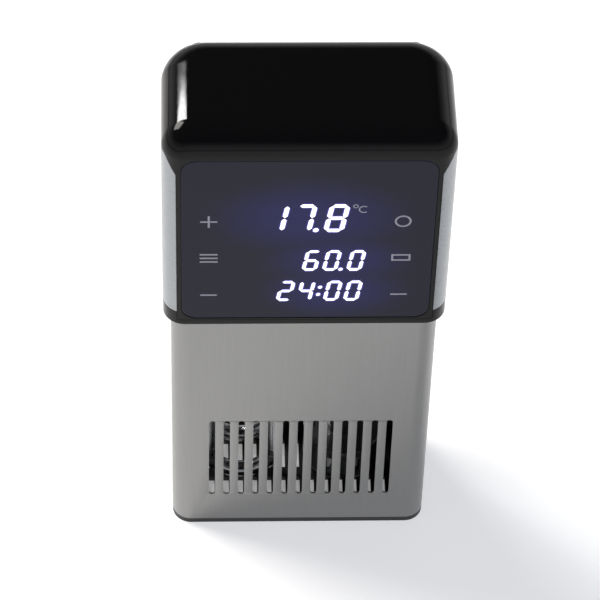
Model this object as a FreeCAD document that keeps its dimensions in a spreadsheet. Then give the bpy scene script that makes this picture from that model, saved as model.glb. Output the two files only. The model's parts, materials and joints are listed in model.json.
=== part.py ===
"""Immersion circulator with a clamp, a stirring motor and a tubular heater.

Millimetres, +Z up. The origin is the middle of the flat bottom face of the skirt's end cap.
The display faces -Y, the pan clamp is behind, at +Y.
"""
import FreeCAD, Part
import math
import os

import Sketcher
from FreeCAD import Vector

os.makedirs("parts", exist_ok=True)
doc = FreeCAD.newDocument("circulator")
sheet = doc.addObject("Spreadsheet::Sheet", "Sizes")


# ---------------------------------------------------------------- driving sizes

class Size:
    """A number together with the sheet formula that it is worked out from."""

    def __init__(self, formula, value):
        self.formula = formula
        self.value = value

    def joined(self, other, sign, value):
        return Size(f"({self.formula} {sign} {formula(other)})", value)

    def __add__(self, other):
        return self.joined(other, "+", self.value + number(other))

    def __sub__(self, other):
        return self.joined(other, "-", self.value - number(other))

    def __mul__(self, other):
        return self.joined(other, "*", self.value * number(other))

    def __truediv__(self, other):
        return self.joined(other, "/", self.value / number(other))

    def __radd__(self, other):
        return self + other

    def __rmul__(self, other):
        return self * other

    def __neg__(self):
        return self * -1


def number(value):
    return value.value if isinstance(value, Size) else float(value)


def formula(value):
    return value.formula if isinstance(value, Size) else repr(float(value))


def size(name, value):
    """Write one driving size in the sheet and return it."""
    row = size.rows = getattr(size, "rows", 0) + 1
    sheet.set(f"A{row}", name)
    sheet.set(f"B{row}", str(value))
    sheet.setAlias(f"B{row}", name)
    return Size(f"Sizes.{name}", value)


# Head casing
head_width = size("head_width", 129)
head_depth = size("head_depth", 67)
head_height = size("head_height", 121)
front_corner = size("front_corner", 10)
back_corner = size("back_corner", 20)
roof_round = size("roof_round", 13)
case_wall = size("case_wall", 2.5)
front_wall = size("front_wall", 5.5)
frame_width = size("frame_width", 116)
frame_depth = size("frame_depth", 11)
rim_height = size("rim_height", 8)
floor = size("floor_thickness", 3)
corner_sweep = size("corner_sweep", 10)
seam = size("seam", 0.15)
# Display
glass_thick = size("glass_thick", 3)
glass_corner = size("glass_corner", 7)
glass_frame = size("glass_frame", 2)
window_ledge = size("window_ledge", 5)
# Skirt and its end cap
immersion = size("immersion", 150)
skirt_width = size("skirt_width", 122)
skirt_depth = size("skirt_depth", 57)
skirt_corner = size("skirt_corner", 9)
skirt_inset = size("skirt_inset", 1.5)
sheet_thick = size("sheet_thick", 1)
slide_gap = size("slide_gap", 0.3)
cap_floor = size("cap_floor", 3)
cap_lip = size("cap_lip", 9)
cap_wall = size("cap_wall", 2)
slot_width = size("slot_width", 3)
slot_pitch = size("slot_pitch", 7)
slot_low = size("slot_low", 22)
slot_high = size("slot_high", 78)
# Flange
gasket_thick = size("gasket_thick", 1)
flange_thick = size("flange_thick", 2)
ring_width = size("ring_width", 4)
ring_gap = size("ring_gap", 0.1)
screw_radius = size("screw_radius", 1.5)
head_radius = size("screw_head_radius", 2.8)
head_thick = size("screw_head_thick", 2.2)
# Motor, shaft and pump
shaft_x = size("shaft_x", 22)
shaft_y = size("shaft_y", 6)
shaft_radius = size("shaft_radius", 3)
running_gap = size("running_gap", 0.05)
press_gap = size("press_gap", 0.02)
tube_radius = size("tube_radius", 7)
tube_wall = size("tube_wall", 1.5)
motor_radius = size("motor_radius", 20)
motor_height = size("motor_height", 45)
motor_stand = size("motor_stand", 24)
fan_radius = size("fan_radius", 19)
pump_radius = size("pump_radius", 19)
pump_wall = size("pump_wall", 1.7)
pump_base = size("pump_base", 13)
pump_height = size("pump_height", 20)
impeller_radius = size("impeller_radius", 15)
# Heater and probes
heater_radius = size("heater_radius", 4)
heater_bend = size("heater_bend", 16)
heater_x = size("heater_x", -28)
heater_y = size("heater_y", 11)
heater_bottom = size("heater_bottom", 36)
probe_radius = size("probe_radius", 2.5)
level_radius = size("level_radius", 2)
# Power board
board_thick = size("board_thick", 1.6)
board_stand = size("board_stand", 23)
# Pan clamp
bracket_width = size("bracket_width", 40)
bracket_sheet = size("bracket_sheet", 3)
bracket_drop = size("bracket_drop", 56)
plate_rise = size("plate_rise", 32)
disc_room = size("disc_room", 5.5)
clamp_radius = size("clamp_radius", 4)
clamp_drop = size("clamp_drop", 36)
clamp_open = size("clamp_open", 16)
pad_thick = size("pad_thick", 2)
disc_thick = size("disc_thick", 5)
disc_radius = size("disc_radius", 11)
nut_thick = size("nut_thick", 6)
knob_radius = size("knob_radius", 15)
knob_thick = size("knob_thick", 16)
# Cord gland
gland_bore = size("gland_bore", 4.2)
gland_radius = size("gland_radius", 7)
gland_x = size("gland_x", -34)
gland_height = size("gland_height", 22)

# Places that several pieces share
head_front = -(skirt_depth / 2 + skirt_inset)
head_back = head_front + head_depth
head_side = head_width / 2
head_top = immersion + head_height
roof_line = head_top - roof_round
frame_side = frame_width / 2
frame_back = head_front + frame_depth
skirt_side = skirt_width / 2
skirt_back = skirt_depth / 2
inside_side = skirt_side - sheet_thick
inside_back = skirt_back - sheet_thick
flange_top = immersion - gasket_thick
flange_low = flange_top - flange_thick
floor_top = immersion + floor
pad_front = skirt_back + pad_thick + clamp_open
disc_front = pad_front + pad_thick
disc_back = disc_front + disc_thick
bracket_back = disc_back + disc_room + bracket_sheet
bracket_low = immersion - bracket_drop
clamp_z = immersion - clamp_drop
doc.recompute()


# ---------------------------------------------------------------- drawing helpers

PLANES = {"top": "XY_Plane", "front": "XZ_Plane", "side": "YZ_Plane"}


def bind(item, name, value):
    """Tie one property to its sheet formula."""
    if isinstance(value, Size):
        item.setExpression(name, value.formula)
    elif not name.startswith("Constraints"):
        setattr(item, name, value)


def place_point(sketch, item, end, x, y):
    """Hold one end of a sketch line, or a centre, at x, y from the sketch's origin."""
    for kind, axis, value in (("DistanceX", -2, x), ("DistanceY", -1, y)):
        if not isinstance(value, Size) and abs(value) < 1e-9:
            sketch.addConstraint(Sketcher.Constraint("PointOnObject", item, end, axis))
            continue
        row = sketch.addConstraint(Sketcher.Constraint(kind, -1, 1, item, end, number(value)))
        bind(sketch, f"Constraints[{row}]", value)


def polygon(*points):
    """A closed outline of straight lines through the given points."""
    def draw(sketch):
        ends = [Vector(number(x), number(y), 0) for x, y in points]
        first = sketch.GeometryCount
        count = len(ends)
        for i in range(count):
            sketch.addGeometry(Part.LineSegment(ends[i], ends[(i + 1) % count]))
        for i in range(count):
            after = first + (i + 1) % count
            sketch.addConstraint(Sketcher.Constraint("Coincident", first + i, 2, after, 1))
            place_point(sketch, first + i, 1, *points[i])
    return draw


def rectangle(left, right, low, high):
    return polygon((left, low), (right, low), (right, high), (left, high))


def circle(x, y, radius):
    def draw(sketch):
        centre = Vector(number(x), number(y), 0)
        item = sketch.addGeometry(Part.Circle(centre, Vector(0, 0, 1), number(radius)))
        place_point(sketch, item, 3, x, y)
        row = sketch.addConstraint(Sketcher.Constraint("Radius", item, number(radius)))
        bind(sketch, f"Constraints[{row}]", radius)
    return draw


def rounded(left, right, low, high, low_round, high_round):
    """A rectangle with one corner radius on its low side and one on its high side."""
    def draw(sketch):
        x0, x1, y0, y1, a, b = (number(v) for v in (left, right, low, high, low_round, high_round))
        first = sketch.GeometryCount
        turns = (
            (Vector(x0 + a, y0), Vector(x1 - a, y0), (x1 - a, y0 + a), a, -90),
            (Vector(x1, y0 + a), Vector(x1, y1 - b), (x1 - b, y1 - b), b, 0),
            (Vector(x1 - b, y1), Vector(x0 + b, y1), (x0 + b, y1 - b), b, 90),
            (Vector(x0, y1 - b), Vector(x0, y0 + a), (x0 + a, y0 + a), a, 180),
        )
        for start, end, middle, radius, angle in turns:
            sketch.addGeometry(Part.LineSegment(start, end))
            ring = Part.Circle(Vector(*middle, 0), Vector(0, 0, 1), radius)
            begin = math.radians(angle)
            sketch.addGeometry(Part.ArcOfCircle(ring, begin, begin + math.pi / 2))
        for i in range(8):
            after = first + (i + 1) % 8
            sketch.addConstraint(Sketcher.Constraint("Tangent", first + i, 2, after, 1))
        for i, kind in enumerate(("Horizontal", "Vertical", "Horizontal", "Vertical")):
            sketch.addConstraint(Sketcher.Constraint(kind, first + 2 * i))
        radii = (low_round, high_round, high_round, low_round)
        for i, radius in enumerate(radii):
            row = sketch.addConstraint(Sketcher.Constraint("Radius", first + 2 * i + 1, number(radius)))
            bind(sketch, f"Constraints[{row}]", radius)
        sides = (("DistanceY", 0, low), ("DistanceX", 2, right), ("DistanceY", 4, high), ("DistanceX", 6, left))
        for kind, item, value in sides:
            rule = Sketcher.Constraint(kind, -1, 1, first + item, 1, number(value))
            row = sketch.addConstraint(rule)
            bind(sketch, f"Constraints[{row}]", value)
    return draw


def hexagon(x, y, radius):
    """A hexagon with its corners at the given radius, two of them level with its middle."""
    corners = []
    for i in range(6):
        turn = math.radians(60 * i)
        corners.append((x + radius * math.cos(turn), y + radius * math.sin(turn)))
    return polygon(*corners)


def new_body(label):
    body = doc.addObject("PartDesign::Body", label)
    body.Label = label
    return body


def new_sketch(body, plane, place, outlines):
    """Draw outlines on one of the body's own planes, shifted to a place along its axis."""
    sketch = body.newObject("Sketcher::SketchObject", body.Label + "_sketch")
    base = next(item for item in body.Origin.OriginFeatures if item.Role == PLANES[plane])
    sketch.AttachmentSupport = (base, "")
    sketch.MapMode = "FlatFace"
    shift = place * -1 if plane == "front" else place
    if isinstance(shift, Size):
        sketch.setExpression("AttachmentOffset.Base.z", shift.formula)
    else:
        sketch.AttachmentOffset = FreeCAD.Placement(Vector(0, 0, shift), FreeCAD.Rotation())
    for draw in outlines:
        draw(sketch)
    return sketch


def extrude(body, kind, plane, start, end, outlines):
    sketch = new_sketch(body, plane, start, outlines)
    feature = body.newObject("PartDesign::" + kind, body.Label + "_" + kind.lower())
    feature.Profile = sketch
    bind(feature, "Length", end - start)
    forwards = plane != "front"
    feature.Reversed = forwards if kind == "Pocket" else not forwards
    return feature


def add(body, plane, start, end, *outlines):
    """Add material from start to end along +Z, +Y or +X."""
    return extrude(body, "Pad", plane, start, end, outlines)


def cut(body, plane, start, end, *outlines):
    """Remove material from start to end along +Z, +Y or +X."""
    return extrude(body, "Pocket", plane, start, end, outlines)


def block(label, left, right, front, back, low, high):
    body = new_body(label)
    add(body, "top", low, high, rectangle(left, right, front, back))
    return body


def turned(body, outline, kind="Revolution", angle=360, plane="front"):
    """Turn an outline drawn beside the sketch's upright axis into a round piece."""
    sketch = new_sketch(body, plane, 0, [outline])
    feature = body.newObject("PartDesign::" + kind, body.Label + "_turned")
    feature.Profile = sketch
    feature.ReferenceAxis = (sketch, ["V_Axis"])
    feature.Angle = angle
    return feature


def around(feature, sketch_axis, count):
    """Repeat a feature evenly about its sketch's normal axis."""
    body = feature.getParentGeoFeatureGroup()
    pattern = body.newObject("PartDesign::PolarPattern", body.Label + "_around")
    pattern.Originals = [feature]
    pattern.Axis = (feature.Profile[0], [sketch_axis])
    pattern.Angle = 360
    pattern.Occurrences = count
    body.Tip = pattern
    return pattern


def round_edges(body, radius, chosen):
    """Fillet the edges of the body so far whose middle point passes the test."""
    doc.recompute()
    base = body.Tip
    names = []
    for i, edge in enumerate(base.Shape.Edges):
        if chosen(edge, edge.CenterOfMass):
            names.append(f"Edge{i + 1}")
    feature = body.newObject("PartDesign::Fillet", body.Label + "_rounded")
    feature.Base = (base, names)
    bind(feature, "Radius", radius)
    return feature


def near(value, target):
    return abs(value - number(target)) < 1e-3


# ---------------------------------------------------------------- head casing

def head_outline(wall=0.0, front=None):
    """The head's plan, drawn in by a wall thickness and, at the front, by its own thickness."""
    front = wall if front is None else front
    return rounded(head_side * -1 + wall, head_side - wall, head_front + front, head_back - wall,
                   front_corner - wall, back_corner - wall)


# Roof and front frame, one moulding that bends down over the front like a strap.
cover = new_body("top_cover")
add(cover, "top", immersion, head_top, head_outline())
cut(cover, "top", immersion, head_top - case_wall, head_outline(case_wall, front_wall))
round_edges(cover, roof_round - case_wall, lambda edge, middle: near(middle.z, head_top - case_wall))
round_edges(cover, roof_round, lambda edge, middle: near(middle.z, head_top))
cut(cover, "side", -head_side - 1, head_side + 1,
    rectangle(frame_back, head_back + 1, immersion - 1, roof_line))
strips = []
for sign in (-1, 1):
    edge = frame_side * sign
    outer = (head_side + 1) * sign
    strips.append(polygon((edge, immersion - 1), (outer, immersion - 1), (outer, roof_line),
                          ((head_side - 1.5) * sign, roof_line), (edge, roof_line - corner_sweep)))
cut(cover, "front", head_front - 1, frame_back + 1, *strips)
cut(cover, "top", immersion - 1, floor_top + seam,
    rectangle(-frame_side - 1, frame_side + 1, head_front - 1, frame_back + 1))
glass_side = frame_side - glass_frame
glass_low = floor_top + glass_frame / 2 + seam
glass_top = roof_line - seam * 4
pocket_outline = rounded(-glass_side - seam, glass_side + seam, glass_low - seam, glass_top + seam,
                         glass_corner, glass_corner)
cut(cover, "front", head_front, head_front + glass_thick + seam, pocket_outline)
cut(cover, "front", head_front, head_front + front_wall + 1,
    rectangle(-glass_side + window_ledge, glass_side - window_ledge,
              glass_low + window_ledge, glass_top - window_ledge))
tie_places = []
for sign in (-1, 1):
    tie_places.append(((head_side - 13) * sign, head_front + 18))
    tie_places.append(((head_side - 17) * sign, head_back - 8.5))
tie_radius = size("tie_radius", 1.75)
boss_radius = size("boss_radius", 4)
boss_low = roof_line - 2
add(cover, "top", boss_low, head_top - case_wall * 1.3, *[circle(x, y, boss_radius) for x, y in tie_places])
cut(cover, "top", boss_low - 1, head_top - case_wall * 2,
    *[circle(x, y, tie_radius + running_gap) for x, y in tie_places])

# Silver band round the two sides and the back.
band = new_body("side_shell")
band_low = immersion + rim_height
band_top = roof_line
add(band, "top", band_low, band_top - seam, head_outline())
cut(band, "top", band_low - 1, band_top + 1, head_outline(case_wall, front_wall))
gap_side = frame_side + seam
cut(band, "top", band_low - 1, band_top + 1,
    rectangle(-gap_side, gap_side, head_front - 1, frame_back + seam))
sweeps = []
for sign in (-1, 1):
    edge = (gap_side - 1) * sign
    outer = (head_side + 1) * sign
    slope = corner_sweep / (head_side - 1.5 - frame_side)
    sweeps.append(polygon((edge, band_top - corner_sweep - seam - slope), ((head_side - 1.5) * sign, band_top - seam),
                          (outer, band_top - seam), (outer, band_top + 1), (edge, band_top + 1)))
cut(band, "front", head_front - 1, frame_back + seam, *sweeps)
vent_count = 8
vent_pitch = size("vent_pitch", 5.5)
vent_width = size("vent_width", 2.5)
vents = []
for i in range(vent_count):
    left = shaft_x + vent_pitch * (i - vent_count / 2)
    vents.append(rectangle(left, left + vent_width, head_top - 70, head_top - 30))
cut(band, "front", head_back - case_wall - 1, head_back + 1, *vents)
gland_z = immersion + gland_height
cut(band, "front", head_back - case_wall - 1, head_back + 1, circle(gland_x, gland_z, gland_radius + press_gap))
bracket_places = [(bracket_width * 0.3 * sign, immersion + plate_rise / 2) for sign in (-1, 1)]
cut(band, "front", head_back - case_wall - 1, head_back + 1,
    *[circle(x, z, screw_radius + press_gap) for x, z in bracket_places])

# Bottom tray with the black rim.
tray = new_body("base_tray")
add(tray, "top", immersion, band_low - seam, head_outline())
cut(tray, "top", floor_top, band_low + 1, head_outline(case_wall, front_wall))
cut(tray, "top", floor_top, band_low + 1,
    rectangle(-gap_side, gap_side, head_front - 1, frame_back + seam))
flange_places = []
for x in (-50, 0, 50):
    for y in (-1, 1):
        flange_places.append((x * 1.0, (inside_back - 7.5) * y))
leg_places = []
for x_sign in (-1, 1):
    for y_sign in (-1, 1):
        leg_places.append((heater_x + heater_bend * x_sign, heater_y * y_sign))
probe_place = (5.0, -(inside_back - 11.5))
level_places = [(31.0, -(inside_back - 13)), (39.0, -(inside_back - 18.5))]
tray_holes = [circle(x, y, screw_radius + press_gap) for x, y in flange_places]
tray_holes += [circle(x, y, heater_radius + 2) for x, y in leg_places]
tray_holes += [circle(x, y, level_radius * 2 + 1) for x, y in level_places]
tray_holes += [circle(*probe_place, probe_radius + 1.5), circle(shaft_x, shaft_y, tube_radius + 2)]
tray_holes += [circle(x, y, tie_radius + running_gap) for x, y in tie_places]
cut(tray, "top", immersion - 1, floor_top + 1, *tray_holes)
cut(tray, "top", immersion, immersion + 1.6, *[circle(x, y, head_radius + 1) for x, y in tie_places])

# Four long screws pull the tray, the band and the cover together.
ties = new_body("tie_screws")
add(ties, "top", immersion + 1.5, head_top - case_wall * 2 - 1, *[circle(x, y, tie_radius) for x, y in tie_places])
add(ties, "top", immersion, immersion + 1.5, *[circle(x, y, head_radius + 0.8) for x, y in tie_places])
cut(ties, "top", immersion, immersion + 0.9, *[hexagon(x, y, 1.5) for x, y in tie_places])


# ---------------------------------------------------------------- display

glass = new_body("display_glass")
add(glass, "front", head_front, head_front + glass_thick,
    rounded(-glass_side, glass_side, glass_low, glass_top, glass_corner, glass_corner))
module_front = head_front + glass_thick + slide_gap
module_low = immersion + head_height * 0.17
module_top = immersion + head_height * 0.75
module_side = size("module_side", 34)
block("display_module", -module_side, module_side, module_front, module_front + 6, module_low, module_top)

touch_front = head_front + front_wall + 4.8
touch_low = glass_low + window_ledge + 1
touch_top = glass_top - window_ledge - 1
touch_side = glass_side - window_ledge
touch = new_body("touch_board")
post_places = [((touch_side - 2) * sx, z) for sx in (-1, 1) for z in (touch_low + 3, touch_top - 3)]
add(touch, "front", touch_front, touch_front + board_thick, rectangle(-touch_side - 4, touch_side + 4, touch_low, touch_top))
corner_posts = [((touch_side + 1.7) * sx, z) for sx in (-1, 1) for z in (touch_low + 5, touch_top - 5)]
cut(touch, "front", touch_front - 1, touch_front + board_thick + 1, *[circle(x, z, 1.2) for x, z in corner_posts])
posts = new_body("board_posts")
add(posts, "front", head_front + front_wall, touch_front, *[circle(x, z, 2) for x, z in corner_posts])
add(posts, "front", touch_front, touch_front + board_thick + 1, *[circle(x, z, 1.15) for x, z in corner_posts])

key_x = size("key_x", 43)
key_places = []
for sign in (-1, 1):
    for share in (0.24, 0.44, 0.65):
        key_places.append((key_x * sign, immersion + head_height * share))
keys = new_body("key_sensors")
add(keys, "front", module_front, touch_front, *[circle(x, z, 4) for x, z in key_places])
cut(keys, "front", module_front + 1, touch_front, *[circle(x, z, 3.2) for x, z in key_places])

chips = new_body("board_chips")
chip_back = touch_front + board_thick
add(chips, "front", chip_back, chip_back + 1.6,
    rectangle(-38, -26, immersion + 62, immersion + 74), rectangle(-12, -4, immersion + 62, immersion + 74),
    rectangle(26, 34, immersion + 78, immersion + 84))
buzzer = new_body("buzzer")
add(buzzer, "front", chip_back, chip_back + 6, circle(-40, immersion + 50, 5.5))
cut(buzzer, "front", chip_back + 5, chip_back + 6, circle(-40, immersion + 50, 1.2))


# ---------------------------------------------------------------- flange and skirt

def skirt_outline(inset):
    corner = skirt_corner - inset
    return rounded(-skirt_side + inset, skirt_side - inset, -skirt_back + inset, skirt_back - inset, corner, corner)


flange_inset = sheet_thick + slide_gap
flange = new_body("mounting_flange")
add(flange, "top", flange_low, flange_top, skirt_outline(flange_inset))
flange_holes = [circle(x, y, screw_radius + press_gap) for x, y in flange_places]
flange_holes += [circle(x, y, heater_radius + press_gap) for x, y in leg_places]
flange_holes += [circle(x, y, level_radius * 2 + press_gap) for x, y in level_places]
flange_holes += [circle(*probe_place, probe_radius + press_gap), circle(shaft_x, shaft_y, tube_radius + press_gap)]
cut(flange, "top", flange_low - 1, flange_top + 1, *flange_holes)

gasket = new_body("head_gasket")
add(gasket, "top", flange_top, immersion, skirt_outline(flange_inset))
gasket_holes = [circle(x, y, screw_radius + press_gap) for x, y in flange_places]
gasket_holes += [circle(x, y, heater_radius + 0.5) for x, y in leg_places]
gasket_holes += [circle(x, y, level_radius * 2 + 0.5) for x, y in level_places]
gasket_holes += [circle(*probe_place, probe_radius + 0.5), circle(shaft_x, shaft_y, tube_radius + 0.5)]
cut(gasket, "top", flange_top - 1, immersion + 1, *gasket_holes)

screws = new_body("flange_screws")
add(screws, "top", flange_low, floor_top - 0.5, *[circle(x, y, screw_radius) for x, y in flange_places])
add(screws, "top", flange_low - head_thick, flange_low, *[circle(x, y, head_radius) for x, y in flange_places])
cut(screws, "top", flange_low - head_thick, flange_low - head_thick + 1.2,
    *[hexagon(x, y, 1.4) for x, y in flange_places])

ring = new_body("skirt_seal")
ring_thick = size("ring_thick", 3)
add(ring, "top", flange_low - ring_thick, flange_low, skirt_outline(sheet_thick + ring_gap))
cut(ring, "top", flange_low - ring_thick - 1, flange_low + 1, skirt_outline(sheet_thick + ring_width))

skirt = new_body("skirt")
add(skirt, "top", cap_floor, immersion - slide_gap, skirt_outline(0.0))
cut(skirt, "top", cap_floor - 1, immersion + 1, skirt_outline(sheet_thick))
wide_slots = []
for i in range(13):
    middle = slot_pitch * (i - 6)
    wide_slots.append(rounded(middle - slot_width / 2, middle + slot_width / 2, slot_low, slot_high,
                              slot_width / 2 - 0.05, slot_width / 2 - 0.05))
cut(skirt, "front", -skirt_back - 1, skirt_back + 1, *wide_slots)
deep_slots = []
for i in range(5):
    middle = slot_pitch * (i - 2)
    deep_slots.append(rounded(middle - slot_width / 2, middle + slot_width / 2, slot_low, slot_high,
                              slot_width / 2 - 0.05, slot_width / 2 - 0.05))
cut(skirt, "side", -skirt_side - 1, skirt_side + 1, *deep_slots)

cap = new_body("skirt_cap")
add(cap, "top", 0, cap_floor, skirt_outline(0.0))
add(cap, "top", cap_floor, cap_floor + cap_lip, skirt_outline(flange_inset))
cut(cap, "top", cap_floor, cap_floor + cap_lip + 1, skirt_outline(flange_inset + cap_wall))
cap_slots = []
for i in range(13):
    middle = slot_pitch * (i - 6)
    for low in (-20, 3):
        cap_slots.append(rectangle(middle - slot_width / 2, middle + slot_width / 2, low, low + 17))
cut(cap, "top", -1, cap_floor + 1, *cap_slots)


# ---------------------------------------------------------------- motor, shaft and pump

def ring_body(label, outer, inner, low, high):
    body = new_body(label)
    add(body, "top", low, high, circle(shaft_x, shaft_y, outer))
    cut(body, "top", low - 1, high + 1, circle(shaft_x, shaft_y, inner))
    return body


motor_low = floor_top + motor_stand
motor_top = motor_low + motor_height
stand_left = shaft_x - motor_radius - 4
stand_right = shaft_x + motor_radius + 4
stand_wall = size("stand_wall", 2)
stand = new_body("motor_stand")
add(stand, "front", shaft_y - motor_radius, shaft_y + motor_radius,
    polygon((stand_left, floor_top), (stand_left + stand_wall, floor_top),
            (stand_left + stand_wall, motor_low - stand_wall), (stand_right - stand_wall, motor_low - stand_wall),
            (stand_right - stand_wall, floor_top), (stand_right, floor_top),
            (stand_right, motor_low), (stand_left, motor_low)))
bearing_radius = size("bearing_radius", 6.5)
bearing_width = size("bearing_width", 5)
motor_screw_places = []
for sign in (-1, 1):
    motor_screw_places.append((shaft_x + 13 * sign, shaft_y))
cut(stand, "top", motor_low - stand_wall - 1, motor_low + 1, circle(shaft_x, shaft_y, bearing_radius + 1),
    *[circle(x, y, screw_radius + press_gap) for x, y in motor_screw_places])

can = new_body("motor_can")
can_wall = size("can_wall", 1.5)
bell = size("bell_thick", 5)
add(can, "top", motor_low, motor_top, circle(shaft_x, shaft_y, motor_radius))
cut(can, "top", motor_low + bell, motor_top + 1, circle(shaft_x, shaft_y, motor_radius - can_wall))
cut(can, "top", motor_low - 1, motor_low + bell + 1, circle(shaft_x, shaft_y, bearing_radius + press_gap))
cut(can, "top", motor_low - 1, motor_low + 4, *[circle(x, y, screw_radius + press_gap) for x, y in motor_screw_places])
end_bell = new_body("motor_end_bell")
add(end_bell, "top", motor_top, motor_top + bell, circle(shaft_x, shaft_y, motor_radius))
cut(end_bell, "top", motor_top - 1, motor_top + bell + 1, circle(shaft_x, shaft_y, bearing_radius + press_gap))
motor_screws = new_body("motor_screws")
add(motor_screws, "top", motor_low - stand_wall, motor_low + 3.5, *[circle(x, y, screw_radius) for x, y in motor_screw_places])
add(motor_screws, "top", motor_low - stand_wall - head_thick, motor_low - stand_wall,
    *[circle(x, y, head_radius) for x, y in motor_screw_places])
bearings = new_body("motor_bearings")
for low in (motor_low, motor_top):
    add(bearings, "top", low, low + bearing_width, circle(shaft_x, shaft_y, bearing_radius))
cut(bearings, "top", motor_low - 1, motor_top + bell + 1, circle(shaft_x, shaft_y, shaft_radius + running_gap))
core_outer = motor_radius - can_wall - press_gap
core_inner = size("core_inner", 12)
stator = ring_body("motor_stator", core_outer, core_inner, motor_low + 9, motor_top - 8)
slot = cut(stator, "top", motor_low + 8, motor_top,
           rectangle(shaft_x - 1.5, shaft_x + 1.5, shaft_y + core_inner - 1, shaft_y + core_outer - 2.5),
           rectangle(shaft_x - 1.5, shaft_x + 1.5, shaft_y - core_outer + 2.5, shaft_y - core_inner + 1),
           rectangle(shaft_x - core_outer + 2.5, shaft_x - core_inner + 1, shaft_y - 1.5, shaft_y + 1.5),
           rectangle(shaft_x + core_inner - 1, shaft_x + core_outer - 2.5, shaft_y - 1.5, shaft_y + 1.5))
ring_body("motor_rotor", core_inner - 0.5, shaft_radius + press_gap, motor_low + 10, motor_top - 9)

shaft_split = floor_top + 9
fan_low = motor_top + bell + 3
fan_top = fan_low + 9
motor_shaft = new_body("motor_shaft")
add(motor_shaft, "top", shaft_split + slide_gap, fan_top + 1, circle(shaft_x, shaft_y, shaft_radius))
pump_top = pump_base + pump_height
shaft_end = pump_base + 2
drive_shaft = new_body("drive_shaft")
add(drive_shaft, "top", shaft_end, shaft_split, circle(shaft_x, shaft_y, shaft_radius))
coupling = ring_body("shaft_coupling", size("coupling_radius", 6.5), shaft_radius + press_gap,
                     shaft_split - 7, shaft_split + 7)
cut(coupling, "side", shaft_x, shaft_x + 8, circle(shaft_y, shaft_split - 4, 1), circle(shaft_y, shaft_split + 4, 1))


def bladed(label, hub, tip, low, high, plate_low, plate_high, blade_thick, count):
    """A hub with a round plate and straight blades, set evenly round the shaft."""
    body = new_body(label)
    add(body, "top", low, high, circle(shaft_x, shaft_y, hub))
    add(body, "top", plate_low, plate_high, circle(shaft_x, shaft_y, tip))
    for i in range(count):
        turn = 2 * math.pi * i / count
        ahead = (math.cos(turn), math.sin(turn))
        beside = (-math.sin(turn), math.cos(turn))
        corners = []
        for along, across in ((hub - 1, -1), (tip - 0.5, -1), (tip - 0.5, 1), (hub - 1, 1)):
            corners.append((shaft_x + along * ahead[0] + blade_thick * (across * beside[0] / 2),
                            shaft_y + along * ahead[1] + blade_thick * (across * beside[1] / 2)))
        add(body, "top", low, high, polygon(*corners))
    cut(body, "top", low - 1, high + 1, circle(shaft_x, shaft_y, shaft_radius + press_gap))
    return body


blade = size("blade_thick", 1.5)
bladed("cooling_fan", size("fan_hub", 6), fan_radius, fan_low, fan_top, fan_low, fan_low + 1.5, blade, 7)
bladed("impeller", size("impeller_hub", 5), impeller_radius, shaft_end, pump_top - 5, pump_top - 6.5,
       pump_top - 5, blade, 6)

tube = ring_body("shaft_tube", tube_radius, tube_radius - tube_wall, pump_top - 3, flange_top + 1)
bore_radius = tube_radius - tube_wall
ring_body("shaft_seal", bore_radius - press_gap, shaft_radius + running_gap, flange_top - 7, flange_top)
ring_body("lower_bush", bore_radius - press_gap, shaft_radius + running_gap, pump_top - 2, pump_top + 10)
pump = new_body("pump_housing")
add(pump, "top", pump_base, pump_top, circle(shaft_x, shaft_y, pump_radius))
cut(pump, "top", pump_base - 1, pump_top - 3, circle(shaft_x, shaft_y, pump_radius - pump_wall))
cut(pump, "top", pump_top - 4, pump_top + 1, circle(shaft_x, shaft_y, tube_radius + press_gap))
cut(pump, "front", shaft_y - pump_radius - 1, shaft_y - pump_radius + 7,
    rectangle(shaft_x - 8, shaft_x + 8, pump_base + 3, pump_top - 5))
pump_plate = ring_body("pump_inlet_plate", pump_radius - pump_wall - 0.05, size("inlet_radius", 8),
                       pump_base, pump_base + 1.5)


# ---------------------------------------------------------------- heater and probes

heater = new_body("heater_element")
for y_sign in (-1, 1):
    y = heater_y * y_sign
    bend = new_sketch(heater, "top", heater_bottom, [circle(heater_x + heater_bend, y, heater_radius)])
    axis = bend.addGeometry(Part.LineSegment(Vector(heater_x.value, -5, 0), Vector(heater_x.value, 5, 0)), True)
    place_point(bend, axis, 1, heater_x, -5)
    place_point(bend, axis, 2, heater_x, 5)
    turn = heater.newObject("PartDesign::Revolution", "heater_bend")
    turn.Profile = bend
    turn.ReferenceAxis = (bend, ["Axis0"])
    turn.Angle = 180
    turn.Reversed = False
    add(heater, "top", heater_bottom, floor_top + 5,
        *[circle(x, y, heater_radius) for x in (heater_x - heater_bend, heater_x + heater_bend)])
nuts = new_body("heater_nuts")
add(nuts, "top", flange_low - 5, flange_low, *[hexagon(x, y, heater_radius + 2.5) for x, y in leg_places])
cut(nuts, "top", flange_low - 6, flange_low + 1, *[circle(x, y, heater_radius + press_gap) for x, y in leg_places])
tabs = new_body("heater_terminals")
add(tabs, "top", floor_top + 5, floor_top + 14, *[rectangle(x - 2.4, x + 2.4, y - 0.4, y + 0.4) for x, y in leg_places])

probe = new_body("temperature_probe")
probe_low = size("probe_low", 58)
add(probe, "top", probe_low, floor_top + 4, circle(*probe_place, probe_radius))
round_edges(probe, probe_radius - 0.4, lambda edge, middle: near(middle.z, probe_low))
level_lows = (size("low_level", 62), size("high_level", 96))
rods = new_body("level_rods")
for (x, y), low in zip(level_places, level_lows):
    add(rods, "top", low, floor_top + 8, circle(x, y, level_radius))
sleeves = new_body("level_sleeves")
add(sleeves, "top", flange_low - 8, floor_top + 4, *[circle(x, y, level_radius * 2) for x, y in level_places])
cut(sleeves, "top", flange_low - 9, floor_top + 5,
    *[circle(x, y, level_radius + press_gap) for x, y in level_places])


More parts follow.
